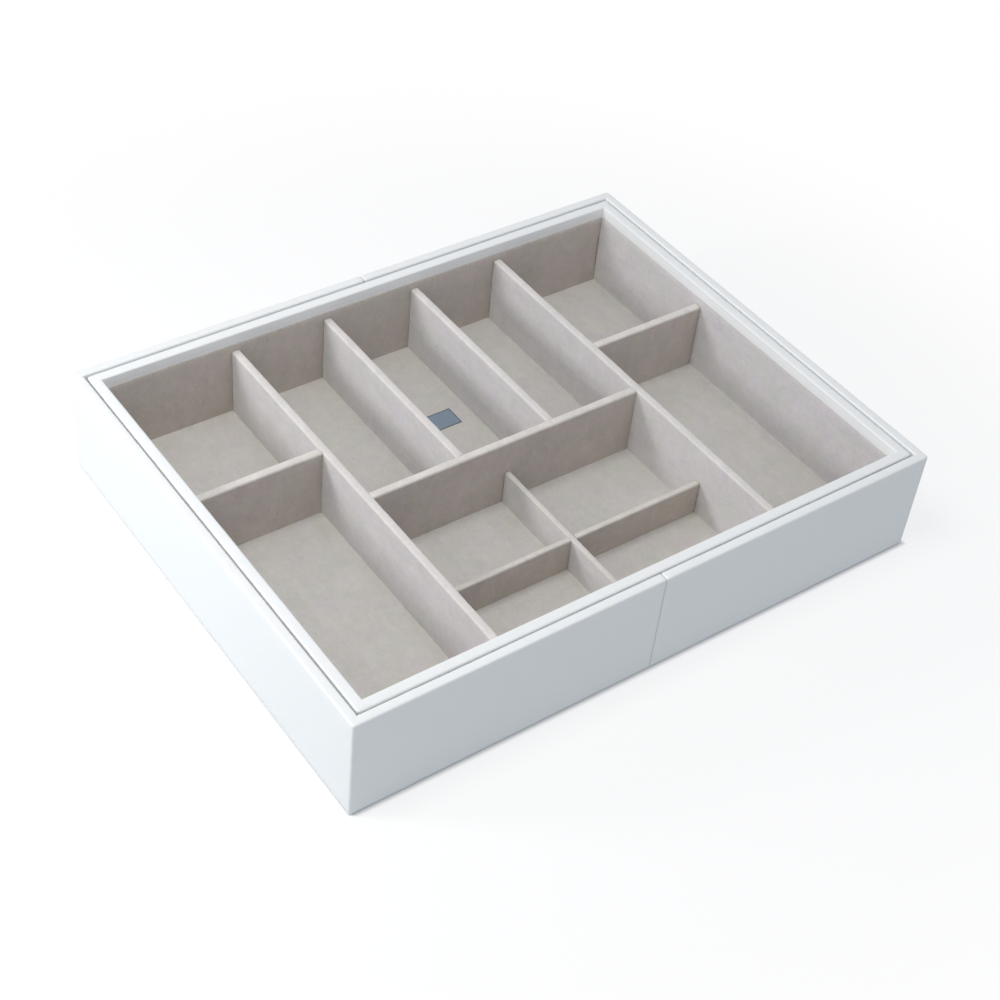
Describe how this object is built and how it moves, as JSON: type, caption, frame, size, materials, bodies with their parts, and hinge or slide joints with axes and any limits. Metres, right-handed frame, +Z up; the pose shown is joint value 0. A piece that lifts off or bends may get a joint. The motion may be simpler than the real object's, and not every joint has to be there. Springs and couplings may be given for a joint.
{
  "type": "extendable drawer tray",
  "caption": "Velvet-lined compartment tray for jewellery, lying in a leather-covered sleeve whose two halves pull out to the left and right.",
  "frame": {"origin": "middle of the underside, on the surface that the tray stands on", "axes": "+X along the length, towards the right half; +Y across the width, from the front to the back; +Z up"},
  "size_m": [0.38, 0.2976, 0.0681],
  "materials": {
    "white_leatherette": "satin, fine grain",
    "taupe_velvet": "short brushed nap",
    "fibreboard": "raw, inside only",
    "base_felt": "needled felt",
    "steel": "zinc plated",
    "nylon": "natural nylon",
    "label": "plain woven, satin"
  },
  "bodies": {
    "tray": {"tray_front_board": "fibreboard", "tray_back_board": "fibreboard", "tray_left_board": "fibreboard", "tray_right_board": "fibreboard", "tray_base_board": "fibreboard", "tray_leather_cover": "white_leatherette", "tray_floor_liner": "taupe_velvet", "tray_front_liner": "taupe_velvet", "tray_back_liner": "taupe_velvet", "tray_left_liner": "taupe_velvet", "tray_right_liner": "taupe_velvet", "left_long_divider_core": "fibreboard", "left_long_divider_velvet": "taupe_velvet", "right_long_divider_core": "fibreboard", "right_long_divider_velvet": "taupe_velvet", "middle_divider_core": "fibreboard", "middle_divider_velvet": "taupe_velvet", "back_left_divider_core": "fibreboard", "back_left_divider_velvet": "taupe_velvet", "back_right_divider_core": "fibreboard", "back_right_divider_velvet": "taupe_velvet", "left_side_divider_core": "fibreboard", "left_side_divider_velvet": "taupe_velvet", "right_side_divider_core": "fibreboard", "right_side_divider_velvet": "taupe_velvet", "low_long_divider_core": "fibreboard", "low_long_divider_velvet": "taupe_velvet", "low_cross_divider_core": "fibreboard", "low_cross_divider_velvet": "taupe_velvet", "blank_label": "label"},
    "left_half": {"left_front_board": "fibreboard", "left_back_board": "fibreboard", "left_end_board": "fibreboard", "left_floor_board": "fibreboard", "left_leather_cover": "white_leatherette", "left_floor_lining": "taupe_velvet", "left_front_lining": "taupe_velvet", "left_back_lining": "taupe_velvet", "left_end_lining": "taupe_velvet", "left_base_felt": "base_felt", "left_guide_studs": "steel", "left_glide_nuts": "nylon"},
    "right_half": {"right_front_board": "fibreboard", "right_back_board": "fibreboard", "right_end_board": "fibreboard", "right_floor_board": "fibreboard", "right_leather_cover": "white_leatherette", "right_floor_lining": "taupe_velvet", "right_front_lining": "taupe_velvet", "right_back_lining": "taupe_velvet", "right_end_lining": "taupe_velvet", "right_base_felt": "base_felt", "right_guide_studs": "steel", "right_glide_nuts": "nylon"}
  },
  "joints": [
    {"name": "left_slide", "type": "slide", "parent": "tray", "child": "left_half", "axis": [-1, 0, 0], "range_m": [0, 0.11]},
    {"name": "right_slide", "type": "slide", "parent": "tray", "child": "right_half", "axis": [1, 0, 0], "range_m": [0, 0.11]}
  ]
}
